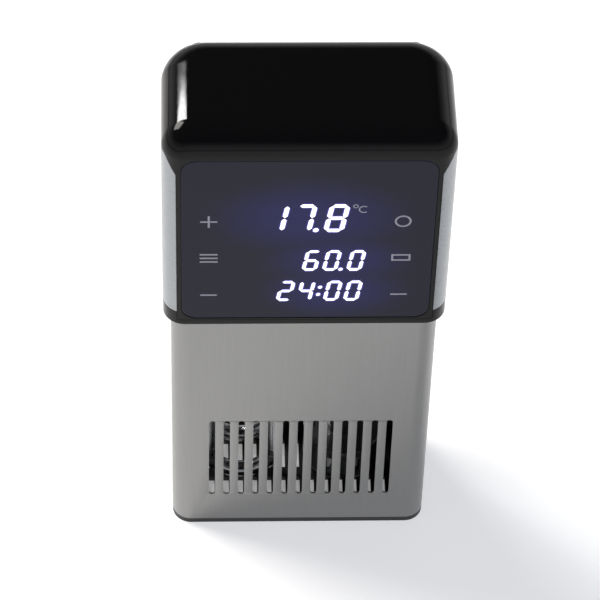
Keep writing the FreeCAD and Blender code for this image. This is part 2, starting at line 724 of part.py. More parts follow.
# ---------------------------------------------------------------- power board

board_low = floor_top + board_stand
board_top = board_low + board_thick
board_left = -head_side + 6.5
board_right = stand_left - 4
board_front = head_front + 22
board_back = head_back - 11
stand_places = [(x, y) for x in (board_left + 4, board_right - 4) for y in (board_front + 4, board_back - 4)]
power = new_body("power_board")
add(power, "top", board_low, board_top, rectangle(board_left, board_right, board_front, board_back))
cut(power, "top", board_low - 1, board_top + 1, *[circle(x, y, 1.6) for x, y in stand_places])
standoffs = new_body("board_standoffs")
add(standoffs, "top", floor_top, board_low, *[circle(x, y, 3) for x, y in stand_places])
add(standoffs, "top", board_low, board_top + 1, *[circle(x, y, 1.55) for x, y in stand_places])
add(standoffs, "top", board_top + 0.001, board_top + 2, *[circle(x, y, 2.6) for x, y in stand_places])
transformer_left = board_left + 2
core = new_body("transformer_core")
add(core, "top", board_top, board_top + 22, rectangle(transformer_left, transformer_left + 26, board_back - 22, board_back - 8.5))
cut(core, "front", board_back - 23, board_back, rectangle(transformer_left + 6, transformer_left + 20, board_top + 4, board_top + 18))
coil = new_body("transformer_coil")
add(coil, "top", board_top + 4.2, board_top + 17.8, rectangle(transformer_left + 6.2, transformer_left + 19.8,
                                                             board_back - 24, board_back - 8))
block("relay", board_left + 9, board_left + 26, board_front + 1, board_front + 10, board_top, board_top + 15)
capacitors = new_body("capacitors")
add(capacitors, "top", board_top, board_top + 20,
    *[circle(board_right - 17, board_front + y, 5) for y in (17.5, 28.5)])
sink = new_body("heat_sink")
sink_left = board_left + 29
sink_fins = [rectangle(sink_left, sink_left + 15, board_front + 1, board_front + 3)]
add(sink, "top", board_top, board_top + 18, *sink_fins)
for i in range(4):
    fin = sink_left + i * 4.4
    add(sink, "top", board_top, board_top + 18, rectangle(fin, fin + 1.4, board_front + 2.5, board_front + 10))
block("triac", sink_left + 3, sink_left + 12, board_front - 2, board_front + 0.9, board_top + 2, board_top + 15)
terminals = new_body("terminal_block")
add(terminals, "top", board_top, board_top + 10, rectangle(board_right - 9, board_right - 1, board_front + 11.5, board_back - 7))
cut(terminals, "top", board_top + 5, board_top + 10,
    *[circle(board_right - 5, board_front + 15 + 5 * i, 1.6) for i in range(3)])


def lead(start, height, reach, bend, radius):
    """A wire that rises from its terminal, bends through a right angle and runs along +X."""
    x, y, z = (number(value) for value in start)
    rise = Vector(x, y, z + number(height) - bend)
    turn = bend * (1 - math.sqrt(0.5))
    over = Vector(x + bend, y, z + number(height))
    middle = Vector(x + turn, y, z + number(height) - turn)
    path = Part.Wire([Part.LineSegment(Vector(x, y, z), rise).toShape(), Part.Arc(rise, middle, over).toShape(),
                      Part.LineSegment(over, Vector(x + number(reach), y, over.z)).toShape()])
    section = Part.Wire(Part.makeCircle(radius, Vector(x, y, z)))
    return path.makePipeShell([section], True, True)


lead_start = board_right - 5
leads = doc.addObject("Part::Feature", "motor_leads")
leads.Label = "motor_leads"
lead_reach = shaft_x - motor_radius - lead_start
leads.Shape = Part.makeCompound(
    [lead((lead_start, board_front + 15 + 5 * i, board_top + 5.1), 26, lead_reach - 0.2, 5, 1.1) for i in range(2)])


# ---------------------------------------------------------------- cord gland

def across(label, x, z, parts, bore):
    """Round steps along +Y about one axis, with a bore through them all."""
    body = new_body(label)
    for radius, start, end in parts:
        add(body, "front", start, end, circle(x, z, radius))
    cut(body, "front", parts[0][1] - 1, parts[-1][2] + 1, circle(x, z, bore))
    return body


gland = across("cord_gland", gland_x, gland_z,
               ((gland_radius, head_back - 9, head_back), (gland_radius + 2.5, head_back, head_back + 5),
                (gland_radius + 1, head_back + 5, head_back + 14)), gland_bore)
lock = new_body("gland_nut")
add(lock, "front", head_back - case_wall - 5, head_back - case_wall, hexagon(gland_x, gland_z, gland_radius + 4))
cut(lock, "front", head_back - case_wall - 6, head_back, circle(gland_x, gland_z, gland_radius + press_gap))


# ---------------------------------------------------------------- pan clamp

bracket = new_body("clamp_bracket")
bend_round = size("bend_round", 5)
half = bracket_width / 2
leg_front = bracket_back - bracket_sheet
leg_under = immersion - bracket_sheet
plate_back = head_back + bracket_sheet
plate_top = immersion + plate_rise
add(bracket, "side", -half, half,
    polygon((head_back, leg_under), (leg_front, leg_under), (leg_front, bracket_low), (bracket_back, bracket_low),
            (bracket_back, immersion), (plate_back, immersion), (plate_back, plate_top), (head_back, plate_top)))


def long_edge(y, z):
    return lambda edge, middle: near(middle.y, y) and near(middle.z, z) and near(edge.Length, bracket_width)


round_edges(bracket, bend_round, long_edge(bracket_back, immersion))
round_edges(bracket, bend_round - bracket_sheet, long_edge(leg_front, leg_under))
round_edges(bracket, bend_round - bracket_sheet, long_edge(plate_back, immersion))
cut(bracket, "front", head_back - 1, plate_back + 1, *[circle(x, z, screw_radius + press_gap) for x, z in bracket_places])
cut(bracket, "front", leg_front - 1, bracket_back + 1, circle(0, clamp_z, clamp_radius + slide_gap))
bracket_screws = new_body("bracket_screws")
add(bracket_screws, "front", head_back - case_wall - 1, plate_back, *[circle(x, z, screw_radius) for x, z in bracket_places])
add(bracket_screws, "front", plate_back, plate_back + head_thick, *[circle(x, z, head_radius) for x, z in bracket_places])

jaw = new_body("jaw_pad")
add(jaw, "front", skirt_back, skirt_back + pad_thick, rounded(-half + 3, half - 3, clamp_z - 16, clamp_z + 16, 4.0, 4.0))
across("clamp_pad", 0, clamp_z, ((disc_radius, pad_front, disc_front),), 1.5)
disc = new_body("clamp_disc")
add(disc, "front", disc_front, disc_back, circle(0, clamp_z, disc_radius))
cut(disc, "front", disc_front + 1.5, disc_back + 1, circle(0, clamp_z, clamp_radius + running_gap))
clamp_nut = new_body("clamp_nut")
add(clamp_nut, "front", bracket_back, bracket_back + nut_thick, hexagon(0, clamp_z, clamp_radius * 1.9))
cut(clamp_nut, "front", bracket_back - 1, bracket_back + nut_thick + 1, circle(0, clamp_z, clamp_radius + running_gap))
knob_front = bracket_back + nut_thick + clamp_open
knob_back = knob_front + knob_thick
screw = new_body("clamp_screw")
add(screw, "front", disc_front + 1.6, knob_back - 2, circle(0, clamp_z, clamp_radius))
knob = new_body("clamp_knob")
add(knob, "front", knob_front, knob_back, circle(0, clamp_z, knob_radius))
scoops = []
for i in range(6):
    turn = math.pi / 3 * i
    reach = knob_radius + 3
    scoops.append(circle(reach * math.cos(turn), clamp_z + reach * math.sin(turn), 5.5))
cut(knob, "front", knob_front - 1, knob_back + 1, *scoops)
cut(knob, "front", knob_front - 1, knob_back - 2, circle(0, clamp_z, clamp_radius + press_gap))


# ---------------------------------------------------------------- checks and export

doc.recompute()
bodies = [item for item in doc.Objects if item.TypeId in ("PartDesign::Body", "Part::Feature")]
faults = [item.Name for item in doc.Objects if "Invalid" in item.State or "Error" in item.State]
for body in bodies:
    if body.Shape.isNull() or not body.Shape.isValid() or not body.Shape.Solids:
        faults.append(body.Label)
if faults:
    raise SystemExit("failed pieces: " + ", ".join(faults))
for body in bodies:
    body.Shape.exportStep(f"parts/{body.Label}.step")
    print(body.Label, len(body.Shape.Solids), round(body.Shape.Volume, 1))
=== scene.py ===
"""Clamp-on immersion circulator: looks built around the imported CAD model, in metres."""
import json
import math

import bpy
import numpy as np
from mathutils import Matrix, Vector


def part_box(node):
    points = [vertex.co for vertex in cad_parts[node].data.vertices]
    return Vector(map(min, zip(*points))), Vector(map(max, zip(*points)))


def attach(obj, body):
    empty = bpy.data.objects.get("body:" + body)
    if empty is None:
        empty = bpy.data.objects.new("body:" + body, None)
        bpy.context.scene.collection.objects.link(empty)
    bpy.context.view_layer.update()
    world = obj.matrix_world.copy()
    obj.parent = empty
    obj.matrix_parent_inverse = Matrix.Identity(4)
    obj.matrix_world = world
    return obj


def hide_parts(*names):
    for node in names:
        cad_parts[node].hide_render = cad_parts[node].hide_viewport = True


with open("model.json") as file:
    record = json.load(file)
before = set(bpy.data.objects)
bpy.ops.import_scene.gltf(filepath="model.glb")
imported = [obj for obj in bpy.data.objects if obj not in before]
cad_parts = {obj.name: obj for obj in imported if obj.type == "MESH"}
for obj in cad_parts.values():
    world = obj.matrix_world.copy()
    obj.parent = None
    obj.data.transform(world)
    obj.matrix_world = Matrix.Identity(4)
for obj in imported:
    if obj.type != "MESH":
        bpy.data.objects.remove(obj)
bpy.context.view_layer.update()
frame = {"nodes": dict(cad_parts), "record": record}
nodes = frame["nodes"]
MM = 0.001


# ---- Camera: a long lens, looking down at the front of the head from slightly to the left.
# It is rolled a little, so that the edges of the roof lie level.

camera_data = bpy.data.cameras.new("camera")
camera = bpy.data.objects.new("camera", camera_data)
bpy.context.scene.collection.objects.link(camera)
bpy.context.scene.camera = camera
camera.location = (-0.053, -1.019, 1.300)
aim = Vector((-0.001, 0.0, 0.132))
camera.rotation_euler = (aim - camera.location).to_track_quat("-Z", "Y").to_euler()
roll = math.radians(1.9)
camera.rotation_euler.rotate_axis("Z", roll)
camera_data.lens = 200
camera_data.sensor_width = 36
camera_data.clip_start = 0.01
camera_data.clip_end = 60


# ---- Studio: a pale floor, a bright horizon and a dark ceiling, so that level gloss surfaces
# stay black while upright ones mirror the floor. One large soft light stands behind on the left.

def colour(code):
    """An sRGB hex colour as linear light: the standard piecewise power curve."""
    parts = np.array([int(code[i:i + 2], 16) for i in (1, 3, 5)]) / 255
    linear = np.where(parts <= 0.04045, parts / 12.92, ((parts + 0.055) / 1.055) ** 2.4)
    return (*linear.tolist(), 1.0)


def add(tree, kind, settings=None, sockets=None):
    """Add one shader node: settings are its properties, sockets hold values or output sockets to link."""
    item = tree.nodes.new(kind)
    for name, value in (settings or {}).items():
        setattr(item, name, value)
    for name, value in (sockets or {}).items():
        if isinstance(value, bpy.types.NodeSocket):
            tree.links.new(value, item.inputs[name])
        else:
            item.inputs[name].default_value = value
    return item


scene = bpy.context.scene
scene.view_settings.view_transform = "Standard"
world = bpy.data.worlds.new("studio")
scene.world = world
world.use_nodes = True
sky = world.node_tree
sky.nodes.clear()
direction = add(sky, "ShaderNodeTexCoord")
height = add(sky, "ShaderNodeSeparateXYZ", sockets={"Vector": direction.outputs["Generated"]})
fade = add(sky, "ShaderNodeValToRGB", sockets={"Fac": height.outputs["Z"]})
fade.color_ramp.elements[0].position = 0.16
fade.color_ramp.elements[0].color = colour("#e9ebee")
fade.color_ramp.elements[1].position = 0.52
fade.color_ramp.elements[1].color = colour("#1c1d20")
ceiling = add(sky, "ShaderNodeBackground", sockets={"Color": fade.outputs["Color"], "Strength": 1.0})
add(sky, "ShaderNodeOutputWorld", sockets={"Surface": ceiling.outputs["Background"]})


def soft_light(name, place, target, width, depth, watts, tint="#ffffff", along=None):
    """A rectangular light aimed at a target: its width runs level, or as near as it can to along."""
    data = bpy.data.lights.new(name, "AREA")
    data.shape = "RECTANGLE"
    data.size = width
    data.size_y = depth
    data.energy = watts
    data.color = colour(tint)[:3]
    lamp = bpy.data.objects.new(name, data)
    scene.collection.objects.link(lamp)
    lamp.location = place
    back = (Vector(place) - Vector(target)).normalized()
    across = Vector(along) if along else Vector((0, 0, 1)).cross(back)
    across = (across - across.dot(back) * back).normalized()
    lamp.rotation_euler = Matrix((across, back.cross(across), back)).transposed().to_euler()
    return lamp


soft_light("key_softbox", (-1.5, 1.0, 1.9), (0, 0, 0.1), 1.1, 1.1, 56, "#fffaf4")
fill = soft_light("front_fill", (0.9, -2.2, 2.1), (0, 0, 0.1), 1.8, 1.2, 62, "#f6f8ff")
fill.visible_glossy = False
left_edge = (-0.056, 0.002, 0.264)
round_the_edge = (0.87, 0, 0.5)
soft_light("side_card", (-0.330, 0.475, 0.690), left_edge, 0.34, 0.030, 1.9, along=round_the_edge)
soft_light("side_fade", (-0.455, 0.668, 0.840), left_edge, 0.42, 0.125, 0.45, along=round_the_edge)

floor_mesh = bpy.data.meshes.new("studio_floor")
reach = 14.0
floor_corners = [(-reach, -reach, 0), (reach, -reach, 0), (reach, reach, 0), (-reach, reach, 0)]
floor_mesh.from_pydata(floor_corners, [], [(0, 1, 2, 3)])
floor_object = bpy.data.objects.new("studio_floor", floor_mesh)
scene.collection.objects.link(floor_object)
paper = bpy.data.materials.new("matt white paper")
paper.use_nodes = True
paper_shader = paper.node_tree.nodes["Principled BSDF"]
paper_shader.inputs["Base Color"].default_value = colour("#f7f7f7")
paper_shader.inputs["Roughness"].default_value = 0.85
paper_shader.inputs["Specular IOR Level"].default_value = 0.2
paper_shader.inputs["Emission Color"].default_value = colour("#f7f7f7")
paper_shader.inputs["Emission Strength"].default_value = 0.28
floor_mesh.materials.append(paper)


# ---- Roof and front frame: one moulding in glossy black ABS. The mirror polish of the mould
# gives a clear sheen with a faint orange peel, and fine dust dulls it in patches.

def material(name, code, roughness, metallic=0.0, **sockets):
    """A principled material with its plain values set, ready for a pattern."""
    made = bpy.data.materials.new(name)
    made.use_nodes = True
    shader = made.node_tree.nodes["Principled BSDF"]
    shader.inputs["Base Color"].default_value = colour(code)
    shader.inputs["Roughness"].default_value = roughness
    shader.inputs["Metallic"].default_value = metallic
    for socket, value in sockets.items():
        shader.inputs[socket.replace("_", " ")].default_value = value
    return made


def pattern(made, grain_mm, stretch, depth_mm, roughness, colours=None):
    """Noise on object coordinates: its cells are grain_mm wide, stretched along each axis by the given
    factors, and drive the bump, the roughness between two values and, if asked, two colours."""
    tree = made.node_tree
    shader = tree.nodes["Principled BSDF"]
    place = add(tree, "ShaderNodeTexCoord")
    scale = [1 / (grain_mm * MM * factor) for factor in stretch]
    stretched = add(tree, "ShaderNodeMapping", sockets={"Vector": place.outputs["Object"], "Scale": scale})
    noise = add(tree, "ShaderNodeTexNoise", sockets={"Vector": stretched.outputs["Vector"], "Scale": 1.0,
                                                     "Detail": 3.0, "Roughness": 0.55})
    rough = add(tree, "ShaderNodeMapRange",
                sockets={"Value": noise.outputs["Fac"], "From Min": 0.3, "From Max": 0.7,
                         "To Min": roughness[0], "To Max": roughness[1]})
    tree.links.new(rough.outputs["Result"], shader.inputs["Roughness"])
    bump = add(tree, "ShaderNodeBump", sockets={"Height": noise.outputs["Fac"], "Strength": 1.0,
                                                "Distance": depth_mm * MM})
    tree.links.new(bump.outputs["Normal"], shader.inputs["Normal"])
    if colours:
        mix = add(tree, "ShaderNodeMix", {"data_type": "RGBA"})
        mix.inputs[6].default_value = colour(colours[0])
        mix.inputs[7].default_value = colour(colours[1])
        tree.links.new(noise.outputs["Fac"], mix.inputs[0])
        tree.links.new(mix.outputs[2], shader.inputs["Base Color"])


def refined(node, name, made, bevel_mm, body="head"):
    """A copy of a CAD node with merged corners, small rounded edges and smooth shading. It takes the
    node's place. With no bevel, only edges flatter than fold_angle are smooth."""
    fold_angle, bevel_angle = math.radians(28), math.radians(40)
    mesh = nodes[node].data.copy()
    mesh.name = name
    piece = bpy.data.objects.new(name, mesh)
    scene.collection.objects.link(piece)
    weld = piece.modifiers.new("weld", "WELD")
    weld.merge_threshold = 0.002 * MM
    if not bevel_mm:
        mesh.set_sharp_from_angle(angle=fold_angle)
    else:
        round_over = piece.modifiers.new("edges", "BEVEL")
        round_over.width = bevel_mm * MM
        round_over.segments = 2
        round_over.limit_method = "ANGLE"
        round_over.angle_limit = bevel_angle
    even = piece.modifiers.new("normals", "WEIGHTED_NORMAL")
    even.keep_sharp = True
    even.weight = 90
    mesh.polygons.foreach_set("use_smooth", np.ones(len(mesh.polygons), bool))
    mesh.materials.clear()
    mesh.materials.append(made)
    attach(piece, body)
    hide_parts(node)


gloss_black = material("high-gloss black ABS", "#0a0a0b", 0.08, IOR=1.53, Specular_IOR_Level=0.15)
pattern(gloss_black, 2.4, (1, 1, 1), 0.0012, (0.06, 0.11))
refined("top_cover", "roof_and_frame", gloss_black, 0.25)


# ---- Silver band: satin stainless sheet wrapped round the sides and the back. Fine lines run
# along it from the belt that ground it, and they draw the reflections out upright.

satin_steel = material("belt-ground stainless steel", "#909396", 0.3, 1.0)
pattern(satin_steel, 0.35, (60, 60, 1), 0.004, (0.24, 0.36), ("#86898c", "#9b9ea1"))
refined("side_shell", "silver_band", satin_steel, 0.25)


# ---- Bottom tray: the same gloss black ABS as the roof. Its rim shows under the silver band,
# and its front strip closes the frame under the glass.

refined("base_tray", "bottom_rim", gloss_black, 0.3)


# ---- Display glass: black-backed toughened glass with a ground edge, flush in its frame.
# Its emission is painted light: a violet bloom near the digits is painted glow spreading from them in the
# glass, and a faint blue-grey glow over the rest is painted reflection.

glass_low, glass_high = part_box("display_glass")
face_y = glass_low.y
rows = (
    {"text": "17.8", "right": 17.0, "low": 62.0, "tall": 18.0},
    {"text": "60.0", "right": 25.4, "low": 36.3, "tall": 13.6},
    {"text": "24:00", "right": 24.6, "low": 15.9, "tall": 13.6},
)
frame_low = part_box("base_tray")[0].z


def rounded_outline(left, right, low, high, radius, per_corner=10):
    """Points round a rectangle with quarter-circle corners, anticlockwise."""
    turn = np.linspace(0, math.pi / 2, per_corner)
    points = []
    corners = ((right - radius, high - radius, 0), (left + radius, high - radius, 1),
               (left + radius, low + radius, 2), (right - radius, low + radius, 3))
    for x, z, quarter in corners:
        angle = turn + quarter * math.pi / 2
        points.append(np.stack([x + radius * np.cos(angle), z + radius * np.sin(angle)], 1))
    return np.concatenate(points)


def put_mesh(name, points, faces, made, smooth=True):
    """A mesh object in one material, all smooth or all flat."""
    mesh = bpy.data.meshes.new(name)
    mesh.from_pydata(np.asarray(points, float).tolist(), [], faces)
    mesh.materials.append(made)
    mesh.polygons.foreach_set("use_smooth", np.full(len(mesh.polygons), smooth))
    mesh.update()
    piece = bpy.data.objects.new(name, mesh)
    scene.collection.objects.link(piece)
    return piece


def stacked(name, rings, made, smooth=True):
    """A closed solid from rings of points laid one after another, with a flat face at each end."""
    count = len(rings[0])
    points = np.concatenate(rings)
    index = np.arange(count)
    after = np.roll(index, -1)
    faces = []
    for level in range(len(rings) - 1):
        base = level * count
        quads = np.stack([base + index, base + after, base + count + after, base + count + index], 1)
        faces += quads.tolist()
    faces.append((index[::-1]).tolist())
    faces.append((index + (len(rings) - 1) * count).tolist())
    return put_mesh(name, points, faces, made, smooth)


black_glass = material("black-backed glass", "#12121b", 0.045, IOR=1.52, Specular_IOR_Level=0.14)
tree = black_glass.node_tree
glass_shader = tree.nodes["Principled BSDF"]
spot = add(tree, "ShaderNodeTexCoord")
split = add(tree, "ShaderNodeSeparateXYZ", sockets={"Vector": spot.outputs["Object"]})
bloom = None
bloom_wide, bloom_tall, bloom_left = 1.9, 1.05, 0.9
for row in rows:
    middle_x = (row["right"] - row["tall"] * bloom_left) * MM
    middle_z = frame_low + (row["low"] + row["tall"] / 2) * MM
    wide = row["tall"] * bloom_wide * MM
    tall = row["tall"] * bloom_tall * MM
    off_x = add(tree, "ShaderNodeMath", {"operation": "SUBTRACT"}, {0: split.outputs["X"], 1: middle_x})
    off_z = add(tree, "ShaderNodeMath", {"operation": "SUBTRACT"}, {0: split.outputs["Z"], 1: middle_z})
    share_x = add(tree, "ShaderNodeMath", {"operation": "DIVIDE"}, {0: off_x.outputs[0], 1: wide})
    share_z = add(tree, "ShaderNodeMath", {"operation": "DIVIDE"}, {0: off_z.outputs[0], 1: tall})
    flat = add(tree, "ShaderNodeCombineXYZ", sockets={"X": share_x.outputs[0], "Y": share_z.outputs[0]})
    far = add(tree, "ShaderNodeVectorMath", {"operation": "LENGTH"}, {0: flat.outputs[0]})
    glow = add(tree, "ShaderNodeMapRange", {"interpolation_type": "SMOOTHERSTEP"},
               {"Value": far.outputs["Value"], "From Min": 0.1, "From Max": 1.7,
                "To Min": 1.0, "To Max": 0.0})
    if bloom is None:
        bloom = glow.outputs["Result"]
    else:
        brighter = add(tree, "ShaderNodeMath", {"operation": "MAXIMUM"},
                       {0: bloom, 1: glow.outputs["Result"]})
        bloom = brighter.outputs[0]
# Painted glow: dim blue-grey over the whole glass as painted reflection, violet round the digits as painted
# glow from them.
painted_glow = add(tree, "ShaderNodeMix", {"data_type": "RGBA"})
painted_glow.inputs[6].default_value = colour("#101020")
painted_glow.inputs[7].default_value = colour("#222160")
tree.links.new(bloom, painted_glow.inputs[0])
tree.links.new(painted_glow.outputs[2], glass_shader.inputs["Emission Color"])
glass_shader.inputs["Emission Strength"].default_value = 0.55

edge_round = 0.5 * MM
edge_step = 0.15 * MM
corner = 7 * MM
rings = []
for inset, depth in ((0, glass_high.y), (0, face_y + edge_round), (edge_step, face_y + edge_step),
                     (edge_round, face_y)):
    line = rounded_outline(glass_low.x + inset, glass_high.x - inset,
                           glass_low.z + inset, glass_high.z - inset, corner - inset)
    rings.append(np.stack([line[:, 0], np.full(len(line), depth), line[:, 1]], 1)[::-1])
glass_piece = stacked("glass_panel", rings[::-1], black_glass, smooth=False)
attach(glass_piece, "head")
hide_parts("display_glass")


# ---- Lit digits: seven-segment figures, each bar a slim six-sided plate that leans to the right,
# in white with a violet edge of painted glow round each bar. The real ones shine from behind the glass.
# These stand a hair in front of it, because the glass is made opaque.

SEGMENTS = {"0": "abcdef", "1": "bc", "2": "abdeg", "4": "bcfg", "6": "acdefg", "7": "abc",
            "8": "abcdefg"}
lean = math.tan(math.radians(9))
figure_wide, figure_gap, figure_thick = 0.50, 0.17, 0.118
dot_share = 0.62


def plates(name, outlines, made, front, thick=0.06 * MM):
    """Thin upright plates from flat outlines, all joined in one mesh. front is the lit side's Y."""
    points = []
    faces = []
    for outline in outlines:
        count = len(outline)
        base = len(points)
        for depth in (front, front + thick):
            points += [(x, depth, z) for x, z in outline]
        faces.append([base + i for i in range(count)])
        faces.append([base + count + i for i in reversed(range(count))])
        for i in range(count):
            j = (i + 1) % count
            faces.append([base + i, base + count + i, base + count + j, base + j])
    return put_mesh(name, points, faces, made, smooth=False)


def bar(start, end, thick):
    """A straight bar with pointed ends between two points."""
    start = np.array(start, float)
    end = np.array(end, float)
    along = (end - start) / np.linalg.norm(end - start)
    side = np.array([-along[1], along[0]]) * thick / 2
    tip = along * thick / 2
    return [start, start + tip - side, end - tip - side, end, end - tip + side, start + tip + side]


def figure(mark, left, low, wide, tall, thick, spread):
    """The bars of one seven-segment figure, before it leans, each widened all round by half of spread."""
    gap = 0.10 * thick
    x0, x1 = left + thick / 2, left + wide - thick / 2
    z0, z1, z2 = low + thick / 2, low + tall / 2, low + tall - thick / 2
    ends = {"a": ((x0, z2), (x1, z2)), "b": ((x1, z1), (x1, z2)), "c": ((x1, z0), (x1, z1)),
            "d": ((x0, z0), (x1, z0)), "e": ((x0, z0), (x0, z1)), "f": ((x0, z1), (x0, z2)),
            "g": ((x0, z1), (x1, z1))}
    bars = []
    for letter in SEGMENTS[mark]:
        start, end = (np.array(point) for point in ends[letter])
        inward = (end - start) / np.linalg.norm(end - start) * gap
        bars.append(bar(start + inward, end - inward, thick + spread))
    return bars


def dot(x, z, size):
    """A small round dot as an eight-sided outline."""
    angle = np.linspace(0, 2 * math.pi, 8, endpoint=False) + math.pi / 8
    return [np.array([x + size * math.cos(a), z + size * math.sin(a)]) for a in angle]


def leaning_rows(spread):
    """Every figure of the three rows, set from the right, then leant and put on the glass."""
    outlines = []
    for row in rows:
        tall, low, right = row["tall"], row["low"], row["right"]
        wide, gap, thick = tall * figure_wide, tall * figure_gap, tall * figure_thick
        point = thick * dot_share + spread / 2
        for mark in reversed(row["text"]):
            if mark == ".":
                shapes = [dot(right - gap * 0.1, low + thick * 0.6, point)]
                right -= gap * 0.75
            elif mark == ":":
                shapes = [dot(right - gap * 0.2, low + tall * share, point) for share in (0.32, 0.68)]
                right -= gap * 1.3
            else:
                size = thick if mark == "1" else wide
                shapes = figure(mark, right - size, low, size, tall, thick, spread)
                right -= size + gap
            for shape in shapes:
                outlines.append([((x + (z - low - tall / 2) * lean) * MM, frame_low + z * MM)
                                 for x, z in shape])
    return outlines


lit_white = material("lit display segment", "#e8e6ff", 0.4,
                     Emission_Color=colour("#d8d4ff"), Emission_Strength=0.95)
digits = plates("lit_digits", leaning_rows(0), lit_white, face_y - 0.09 * MM)
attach(digits, "head")
# Painted glow: these violet plates, a little wider than the bars, stand for light spreading round the lit
# segments.
violet = material("painted violet glow round the segments", "#15143a", 0.4,
                  Emission_Color=colour("#4b46c4"), Emission_Strength=0.55)
bleed = plates("digit_painted_glow", leaning_rows(0.9), violet, face_y - 0.03 * MM, 0.03 * MM)
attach(bleed, "head")


# ---- Touch marks: plus, lines, minus and ring in dim grey, with a small degree mark beside the
# top row. Like the digits, they stand a hair in front of the glass.

def box_outline(x, z, wide, tall):
    """The corners of a rectangle round its middle."""
    return [(x - wide / 2, z - tall / 2), (x + wide / 2, z - tall / 2), (x + wide / 2, z + tall / 2),
            (x - wide / 2, z + tall / 2)]


def ring_parts(x, z, radius, thick, start=0.0, end=2 * math.pi, count=20):
    """Short four-sided plates that follow an arc."""
    angles = np.linspace(start, end, count + 1)
    parts = []
    for a, b in zip(angles[:-1], angles[1:]):
        parts.append([(x + (radius - thick / 2) * math.cos(a), z + (radius - thick / 2) * math.sin(a)),
                      (x + (radius + thick / 2) * math.cos(a), z + (radius + thick / 2) * math.sin(a)),
                      (x + (radius + thick / 2) * math.cos(b), z + (radius + thick / 2) * math.sin(b)),
                      (x + (radius - thick / 2) * math.cos(b), z + (radius - thick / 2) * math.sin(b))])
    return parts


stroke = 0.9
left_x, right_x = -43.8, 41.8
top_z, middle_z, low_z = 68.8, 44.9, 20.1
printed = [box_outline(left_x, top_z, 7.5, stroke), box_outline(left_x, top_z + 2.1, stroke, 3.3),
           box_outline(left_x, top_z - 2.1, stroke, 3.3)]
printed += [box_outline(left_x, middle_z + shift, 8.0, stroke) for shift in (-2.4, 0, 2.4)]
printed += [box_outline(left_x, low_z, 7.5, stroke), box_outline(right_x, low_z, 7.5, stroke)]
printed += ring_parts(right_x, top_z, 3.3, stroke)
printed += [box_outline(right_x, middle_z + shift, 8.6, stroke) for shift in (-1.7, 1.7)]
printed += [box_outline(right_x + side * 3.85, middle_z, stroke, 2.5) for side in (-1, 1)]
printed += ring_parts(20.6, 78.6, 1.0, 0.5, count=12)
printed += ring_parts(24.2, 76.6, 2.0, 0.6, math.radians(50), math.radians(310), 14)
printed = [[(x * MM, frame_low + z * MM) for x, z in outline] for outline in printed]
dim_print = material("dim grey print", "#6e6e78", 0.5,
                     Emission_Color=colour("#6a6a78"), Emission_Strength=0.25)
marks = plates("touch_marks", printed, dim_print, face_y - 0.04 * MM)
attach(marks, "head")


# ---- Skirt and end cap: a folded tube of stainless sheet, ground upright, with long slots
# near its foot, closed by a moulded cap with slots in its floor.

ground_steel = material("upright-ground stainless sheet", "#8f8f8e", 0.34, 1.0)
pattern(ground_steel, 0.4, (1, 1, 90), 0.004, (0.28, 0.42), ("#7e7e7d", "#8f8f8e"))
refined("skirt", "steel_skirt", ground_steel, 0, "skirt")
moulded = material("fine-grained black nylon", "#141416", 0.5)
pattern(moulded, 0.3, (1, 1, 1), 0.02, (0.42, 0.58), ("#111113", "#19191b"))
refined("skirt_cap", "end_cap", moulded, 0.4, "skirt_cap")


# ---- Rubber and silicone: the black rubber faces of the pan clamp, and the red silicone ring
# that grips the skirt. Both are moulded, so they are dull and finely uneven.

rubber = material("moulded black rubber", "#17171a", 0.75)
pattern(rubber, 0.5, (1, 1, 1), 0.03, (0.68, 0.85), ("#141417", "#1e1e21"))
red_silicone = material("red silicone", "#8c2f24", 0.55, Subsurface_Weight=0.1)
pattern(red_silicone, 1.2, (1, 1, 1), 0.01, (0.5, 0.62), ("#84291f", "#983629"))
refined("jaw_pad", "jaw_face", rubber, 0.4, "skirt")
refined("clamp_pad", "pad_face", rubber, 0.5, "clamp_foot")
refined("skirt_seal", "seal_ring", red_silicone, 0.3)


# ---- Wet end: turned stainless tubes and probes, a pressed flange and pump housing, PTFE sleeves
# and impeller, and brass nuts on the heater.

turned = material("turned stainless steel", "#b9babc", 0.22, 1.0)
pattern(turned, 0.25, (40, 40, 1), 0.003, (0.16, 0.28), ("#b0b1b3", "#c4c5c7"))
brass = material("turned brass", "#c9a25a", 0.25, 1.0)
pattern(brass, 0.3, (20, 20, 1), 0.003, (0.2, 0.34), ("#bd954d", "#d2ad68"))
ptfe = material("natural PTFE", "#dddcd6", 0.45, Subsurface_Weight=0.15)
pattern(ptfe, 0.8, (1, 1, 1), 0.01, (0.38, 0.52), ("#d4d3cc", "#e6e5e0"))
for node, slot, made, bevel in (
        ("heater_element", "machined", turned, 0), ("temperature_probe", "machined", turned, 0),
        ("level_rods", "machined", turned, 0.3), ("shaft_tube", "machined", turned, 0.3),
        ("mounting_flange", "steel", ground_steel, 0.2), ("pump_housing", "steel", ground_steel, 0.3),
        ("pump_inlet_plate", "steel", ground_steel, 0.2), ("heater_nuts", "brass", brass, 0.3),
        ("level_sleeves", "white_plastic", ptfe, 0.4)):
    refined(node, node + "_finished", made, bevel)
refined("impeller", "impeller_wheel", ptfe, 0.25, "rotor")
refined("drive_shaft", "drive_rod", turned, 0.3, "rotor")


# ---- Screws and the clamp nut: bright zinc-plated steel with a faint blue cast, a little
# clouded in patches.

zinc = material("bright zinc-plated steel", "#b7bbc1", 0.2, 1.0)
pattern(zinc, 1.5, (1, 1, 1), 0.002, (0.15, 0.3), ("#aab0b8", "#c6c8c8"))
for node in ("tie_screws", "flange_screws", "bracket_screws", "clamp_nut"):
    refined(node, node + "_plated", zinc, 0.25)


# ---- Inside the head: motor, boards and their parts keep their CAD shapes and get finishes.
# Each CAD node takes the finish that its slot in the record names.

